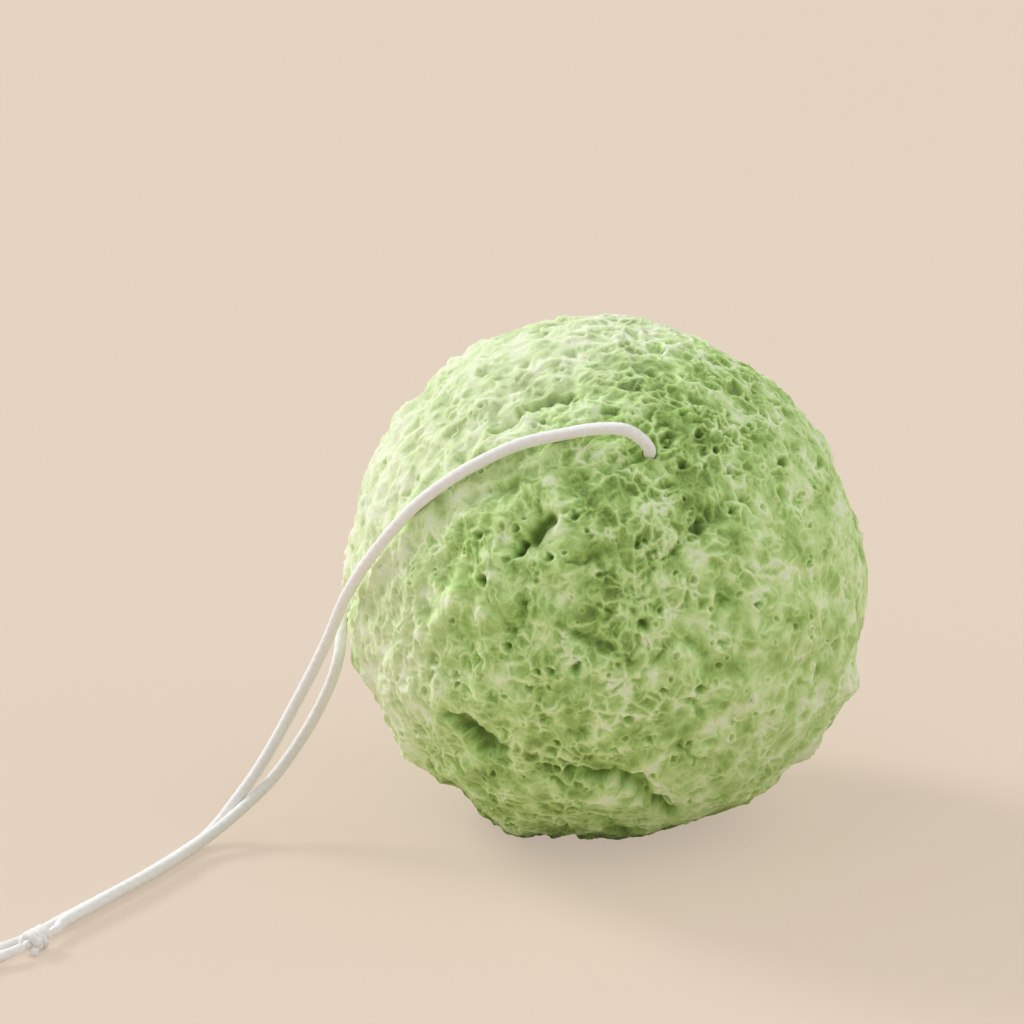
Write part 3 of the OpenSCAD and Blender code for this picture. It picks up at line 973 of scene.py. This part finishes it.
foam, tree, shader = new_material("konjac_foam")
foam_at = put(tree, "ShaderNodeAttribute", output=1, attribute_name="foam_at")
carved_here = put(tree, "ShaderNodeAttribute", output=2, attribute_name="carved")
_, pale = fibre_net(tree, foam_at)
raised = put(tree, "ShaderNodeAttribute", output=2, attribute_name="swollen")
patches = (noise(tree, foam_at, patch_size, 2.0) - 0.5) * patch_share
clouds = (noise(tree, foam_at + (9.0, 4.0, 2.0), cloud_size, 1.0) - 0.5) * cloud_share
specks = (noise(tree, foam_at, speck_size, 2.0) - 0.5) * speck_share
# Painted shade darkens carved pits and creases, and a painted highlight makes their rims paler.
pit_shade_and_rim_light = carved_here.between(-2.6, -0.2, -0.56, 0.0) + carved_here.between(0.05, 0.28, 0.0, 0.16)
# Painted shade: the bottom of the ball, where it faces the floor, is painted darker.
underside_shade = foam_at.part(2).between(-39.0, -28.0, -0.66, 0.0)
# Painted light and shade: swells are painted lighter and hollows darker, by their height.
tone = pale + patches + clouds + specks + pit_shade_and_rim_light + underside_shade + raised.between(-1.2, 1.2, -0.2, 0.2)
for name, share in painted_side_light.items():
    tone = tone + on_side(tree, foam_at, name) * share
colour = ramp(tree, tone + plain_tone, [
    (0.0, (0.17, 0.265, 0.058)), (0.2, (0.25, 0.385, 0.09)), (0.42, (0.375, 0.575, 0.162)),
    (0.7, (0.572, 0.778, 0.315)), (0.88, (0.71, 0.885, 0.46)), (1.0, (0.81, 0.93, 0.63))])
# Painted sheen: the top left and the left edge are mixed towards a whitish colour.
sheen_sides = on_side(tree, foam_at, "pale").maths("MAXIMUM", on_side(tree, foam_at, "left_edge"))
foam_share = sheen_sides * -painted_sheen_share + 1.0
colour = (colour - painted_sheen_colour).scaled(foam_share) + painted_sheen_colour
feed(tree, shader.inputs["Base Color"], colour)
set_plain(shader, {
    "Roughness": 0.85, "Specular IOR Level": 0.25, "Subsurface Weight": 0.6,
    "Subsurface Radius": (1.0, 1.2, 0.5), "Subsurface Scale": 1.0 * mm,
    "Sheen Weight": 0.3, "Sheen Roughness": 0.5, "Sheen Tint": (0.85, 0.95, 0.7, 1)})
fibres = noise(tree, foam_at, 0.3, 2.0) * 0.3 + pale
bump = put(tree, "ShaderNodeBump", {"Strength": 0.12, "Distance": 0.15 * mm, "Height": fibres})
feed(tree, shader.inputs["Normal"], bump)
dress(ball, foam)
print("nodes of the foam:", len(tree.nodes))

# %% [markdown]
# ### Cotton
# Bleached cotton is a soft near-white. Its yarns show as slanting lines that follow the lay, so
# the pattern is read from the cord's own UV map: millimetres along it and shares of a turn round.

# %% Bleached cotton
cotton, tree, shader = new_material("bleached_cotton")
lay = put(tree, "ShaderNodeUVMap", uv_map="lay")
yarn = put(tree, "ShaderNodeTexNoise", {
    "Vector": lay * (1.6, 9.0, 1.0), "Scale": 1.0, "Detail": 3.0, "Roughness": 0.6})
soft = ramp(tree, yarn, [(0.3, (0.89, 0.88, 0.86)), (0.7, (0.97, 0.965, 0.955))])
feed(tree, shader.inputs["Base Color"], soft)
set_plain(shader, {
    "Roughness": 0.8, "Specular IOR Level": 0.3, "Subsurface Weight": 0.2,
    "Subsurface Radius": (1.0, 1.0, 1.0), "Subsurface Scale": 0.4 * mm, "Sheen Weight": 0.2})
bump = put(tree, "ShaderNodeBump", {"Strength": 0.3, "Distance": 0.06 * mm, "Height": yarn})
feed(tree, shader.inputs["Normal"], bump)
front_strand = strands["front_strand_and_loop"][0]
rear_strand = strands["rear_strand"][0]
for piece in (front_strand, rear_strand, knot, tails, frame["nodes"]["cord_core"]):
    dress(piece, cotton)
print("nodes of the cotton:", len(tree.nodes))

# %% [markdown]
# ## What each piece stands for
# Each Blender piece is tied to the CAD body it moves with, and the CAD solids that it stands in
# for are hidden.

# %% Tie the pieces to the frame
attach(ball, "sponge")
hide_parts("sponge_body")
for piece, nodes in ((front_strand, ("cord_front", "hanging_loop")), (rear_strand, ("cord_back",)),
                     (knot, ("knot",)), (tails, ("cord_tails",))):
    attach(piece, "cord")
    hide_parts(*nodes)
for name, with_pieces in (("front_strand_and_loop", [knot, tails]), ("rear_strand", [])):
    piece, line, length = strands[name]

# %% [markdown]
# ## Floor and light
# The floor is one pale warm sheet. Most of the light comes from all round, as in a white room.
# A wide soft sun from the left, a little behind the ball, lights the tops of the relief and
# throws the shadow to the right, and a second one from the front left widens that shadow.

# %% The studio
floor_colour = (0.766, 0.642, 0.524)
plain_share = 0.63
room_light = 0.4
floor_size = 30

bpy.ops.object.select_all(action="DESELECT")
bpy.ops.mesh.primitive_plane_add(size=floor_size)
floor = bpy.context.object
floor.name = "studio_floor"
paper, tree, shader = new_material("warm_paper")
set_plain(shader, {
    "Base Color": (*floor_colour, 1), "Roughness": 0.9, "Specular IOR Level": 0.1})
plain = put(tree, "ShaderNodeEmission", {"Color": (*floor_colour, 1)})
seen_plain = put(tree, "ShaderNodeLightPath") * plain_share
paper_seen = put(tree, "ShaderNodeMixShader", [seen_plain, Field(tree, shader.outputs[0]), plain])
feed(tree, tree.nodes["Material Output"].inputs["Surface"], paper_seen)
dress(floor, paper)


def soft_sun(name, compass, height, width, strength):
    """A sun from a compass angle and a height, both in degrees, and as wide as the last angle."""
    bpy.ops.object.light_add(type="SUN", location=(0, 0, 1))
    lamp = bpy.context.object
    lamp.name = name
    lamp.data.energy = strength
    lamp.data.angle = math.radians(width)
    turn, rise = math.radians(compass), math.radians(height)
    from_way = Vector((math.cos(rise) * math.cos(turn), math.cos(rise) * math.sin(turn),
                       math.sin(rise)))
    lamp.rotation_euler = from_way.to_track_quat("Z", "Y").to_euler()


soft_sun("window_light", compass=146, height=35, width=20, strength=1.85)
soft_sun("wide_fill", compass=195, height=45, width=70, strength=0.6)
soft_sun("far_side_fill", compass=-5, height=45, width=60, strength=0.8)
world = bpy.context.scene.world or bpy.data.worlds.new("room")
bpy.context.scene.world = world
world.use_nodes = True
sky = world.node_tree.nodes["Background"]
set_plain(sky, {"Color": (1.0, 1.0, 1.0, 1), "Strength": room_light})
